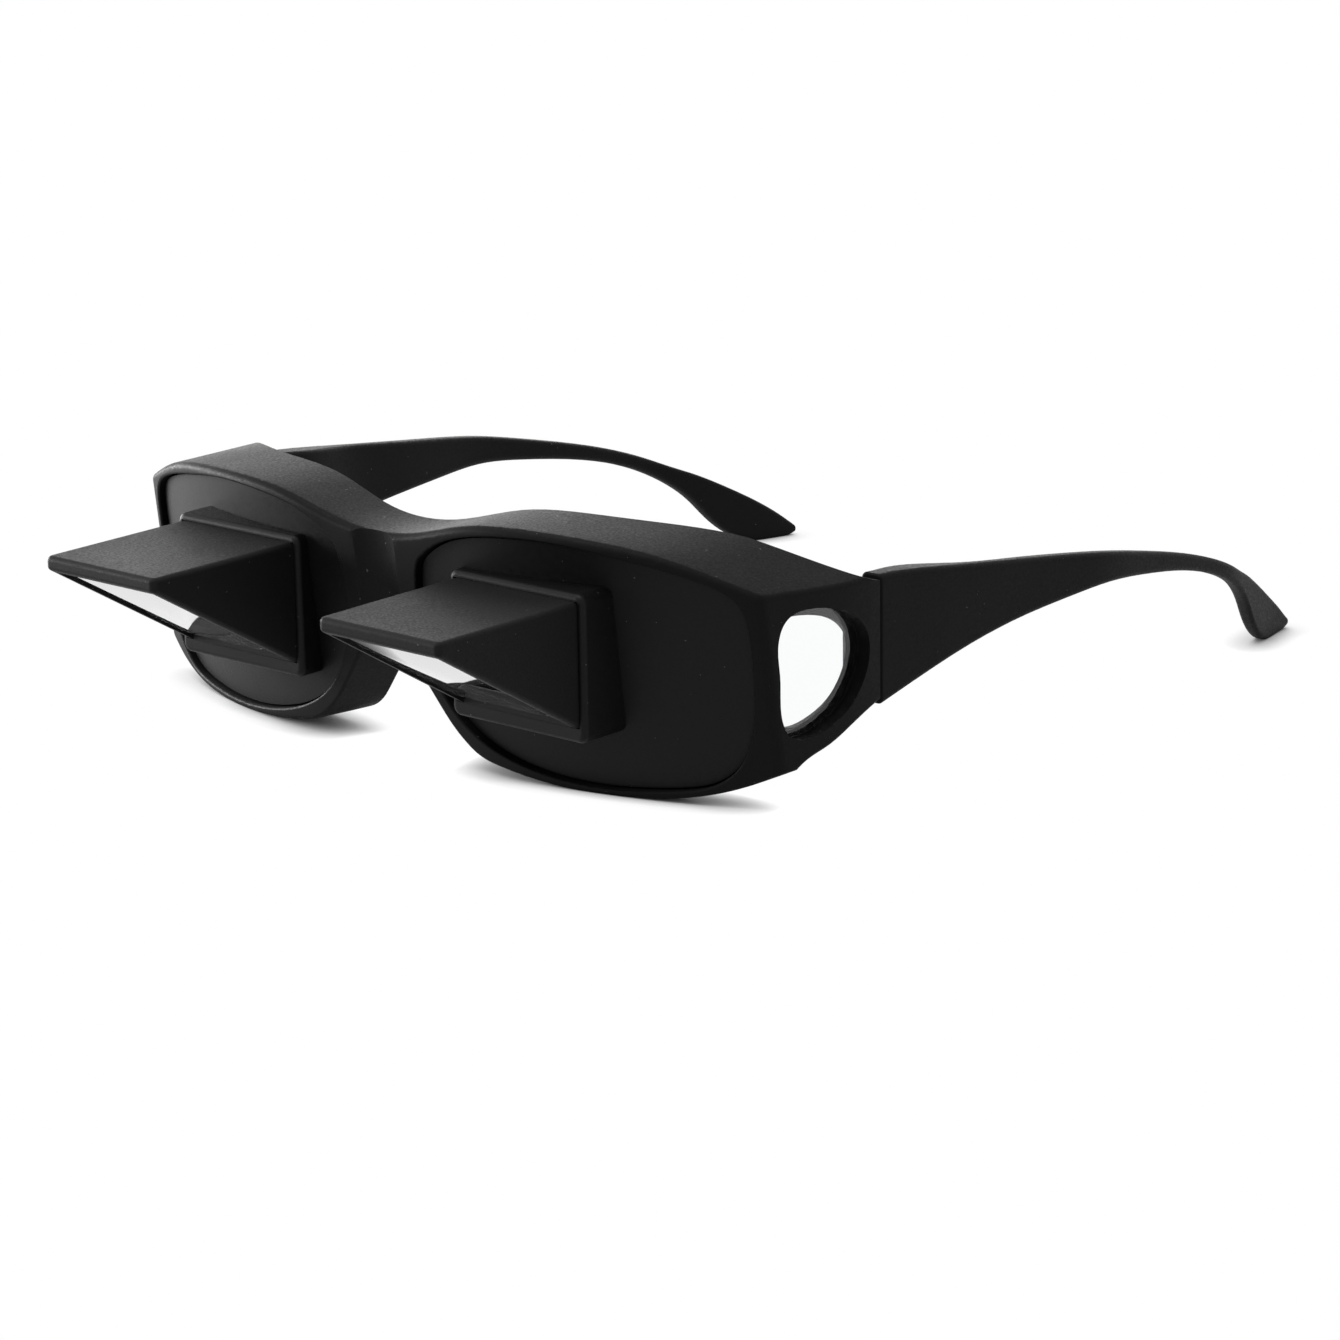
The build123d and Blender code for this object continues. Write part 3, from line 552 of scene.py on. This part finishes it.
# %% [markdown]
# The bezel screws go in from behind and show their slotted heads to the wearer. The rivets of the
# hinge leaves go through from the inner side of the arm and the temple, where their heads are low
# so that they don't catch hair.

# %% Screws and rivets
screw_sizes = {"Head Radius": 0.95 * MM, "Head Height": 0.6 * MM, "Shank Radius": 0.5 * MM,
               "Shank Length": 4.2 * MM, "Slot Width": 0.25 * MM}
rivet_sizes = {"Head Radius": 1.0 * MM, "Head Height": 0.35 * MM, "Shank Radius": 0.6 * MM,
               "Shank Length": 3.2 * MM, "Slot Width": 0.0}
to_the_back = Vector((0, math.cos(pitch), math.sin(pitch))).normalized()
inward = {"left": Vector((-1, 0, 0)), "right": Vector((1, 0, 0))}
for side in SIDES:
    make_fasteners(side + "_bezel_screws", "front", to_the_back, screw_sizes)
    for leaf, body in (("front_leaf", "front"), ("temple_leaf", body_of_side[side])):
        make_fasteners(side + "_" + leaf + "_rivets", body, inward[side], rivet_sizes)

# %% [markdown]
# The picture has a pure white ground, on which only the places of contact leave a shadow. A bright
# lamp on the floor would also light the glasses. So the ground glows white for the camera and for
# clear or glossy things, and is an ordinary pale floor to everything else. An Ambient Occlusion
# node takes the glow away close to the glasses, which is painted shade; there the ordinary floor
# shows, with its real shadow from the lamps.

# %% Floor material
shade_reach = 5 * MM
floor_grey = 0.7
floor_roughness = 0.9
shade_samples = 12


def ray_is(plan, *kinds):
    """1 for a ray of any of the kinds, 0 for all others."""
    answers = [plan.node("ShaderNodeLightPath", {}, {}, "Is " + kind + " Ray") for kind in kinds]
    found = answers[0]
    for answer in answers[1:]:
        found = found.math("MAXIMUM", found, answer)
    return found


def white_floor():
    finish = Finish("white ground")
    finish.set(Base_Color=grey(floor_grey), Roughness=floor_roughness, Specular_IOR_Level=0.0)
    seen = ray_is(finish, "Camera", "Transmission", "Glossy")
    # painted shade: the white glow fades where the glasses come close to the floor
    free = finish.node("ShaderNodeAmbientOcclusion", {"samples": shade_samples},
                       {"Distance": shade_reach}, "AO")
    glow = finish.node("ShaderNodeEmission", {}, {"Color": grey(1)})
    plain = Wire(finish, finish.shader.outputs[0])
    both = finish.node("ShaderNodeMixShader", {}, {0: seen * free * free, 1: plain, 2: glow})
    finish.feed(finish.tree.nodes["Material Output"].inputs["Surface"], both)
    return finish.material


# %% Floor
floor_reach = 8.0
floor_corners = [(across * floor_reach, along * floor_reach, 0)
                 for across, along in ((-1, -1), (1, -1), (1, 1), (-1, 1))]
floor_mesh = bpy.data.meshes.new("floor")
floor_mesh.from_pydata(floor_corners, [], [(0, 1, 2, 3)])
floor_mesh.materials.append(white_floor())
floor = bpy.data.objects.new("floor", floor_mesh)
scene.collection.objects.link(floor)
print("the floor reaches", floor_reach, "m each way, with shade", round(shade_reach / MM), "mm wide")

# %% [markdown]
# The world round the glasses is a white room. The camera, and clear and glossy things, see it as
# pure white. To dull surfaces it gives only a weak, even light, because black plastic that is lit
# from all sides looks grey and flat.

# %% World
white_level, room_level = 1.0, 0.22


def white_room():
    world = bpy.data.worlds.new("studio")
    world.use_nodes = True
    world.node_tree.nodes.clear()
    plan = Plan(world.node_tree)
    dim, bright = (plan.node("ShaderNodeBackground", {}, {"Color": grey(1), "Strength": level})
                   for level in (room_level, white_level))
    seen = ray_is(plan, "Camera", "Transmission", "Glossy")
    both = plan.node("ShaderNodeMixShader", {}, {0: seen, 1: dim, 2: bright})
    plan.feed(plan.tree.nodes.new("ShaderNodeOutputWorld").inputs["Surface"], both)
    return world


scene.world = white_room()
print("the room looks", white_level, "bright and lights dull surfaces at", room_level)

# %% [markdown]
# Three soft lamps give the black plastic its sheen. Black shows hardly any light of its own, so
# each lamp stands where a surface mirrors it towards the camera: a low and narrow one at the left
# for the sheen on the far panel, and a wider one behind the glasses for the flat tops of the brow
# and the hoods. A large one high above fills in and gives the soft shadow. Small lamps could do it
# too, but their sheen is a hard spot, and that of a broad one is an even grey.

# %% Lamps
def soft_lamp(name, place, target, wide, high, power):
    """A rectangular lamp that faces a target, with sizes in metres and power in watts."""
    light = bpy.data.lights.new(name, "AREA")
    light.shape = "RECTANGLE"
    light.size = wide
    light.size_y = high
    light.energy = power
    lamp = bpy.data.objects.new(name, light)
    lamp.location = place
    lamp.rotation_mode = "QUATERNION"
    lamp.rotation_quaternion = (Vector(target) - Vector(place)).to_track_quat("-Z", "Y")
    scene.collection.objects.link(lamp)
    distance = (Vector(target) - Vector(place)).length
    print(name, "at", power, "W,", round(distance, 2), "m from what it lights")


soft_lamp("left lamp", place=(-0.34, -0.14, 0.055), target=(-0.04, -0.07, 0.03),
          wide=0.3, high=0.09, power=2.2)
soft_lamp("back lamp", place=(-0.42, 0.36, 0.16), target=(-0.03, -0.05, 0.03),
          wide=0.5, high=0.26, power=1.1)
soft_lamp("overhead lamp", place=(-0.3, -0.5, 1.5), target=(0, 0, 0),
          wide=1.0, high=1.0, power=14)

# %% [markdown]
# The camera was worked out from the photograph: its straight edges and its mirror symmetry give the
# direction, the distance and the lens. A camera can be aimed with a constraint, but its place and
# turn are set as one matrix here, because the photograph is also rolled by half a degree.

# %% Camera
azimuth = math.radians(40.744)
elevation = math.radians(14.213)
roll = math.radians(0.436)
camera_distance = 0.702236
camera_target = Vector((0.06481, -0.07507, 0.02645))
picture_width, focal_length = 1340, 4500    # in pixels of the photograph
sensor_width = 36                           # in millimetres, as Blender counts a lens

camera_data = bpy.data.cameras.new("camera")
camera_data.sensor_width = sensor_width
camera_data.lens = sensor_width * focal_length / picture_width
camera_data.clip_start = 0.01
camera = bpy.data.objects.new("camera", camera_data)
scene.collection.objects.link(camera)

level = math.cos(elevation)
back = Vector((math.sin(azimuth) * level, -math.cos(azimuth) * level, math.sin(elevation)))
right = Vector((math.cos(azimuth), math.sin(azimuth), 0))
up = back.cross(right)
rolled_right = right * math.cos(roll) + up * math.sin(roll)
rolled_up = up * math.cos(roll) - right * math.sin(roll)
turn = Matrix((rolled_right, rolled_up, back)).transposed()
camera.matrix_world = Matrix.Translation(camera_target + back * camera_distance) @ turn.to_4x4()
scene.camera = camera
scene.view_settings.view_transform = "Standard"
print("the camera stands", round(camera.location.length, 3), "m from the origin")
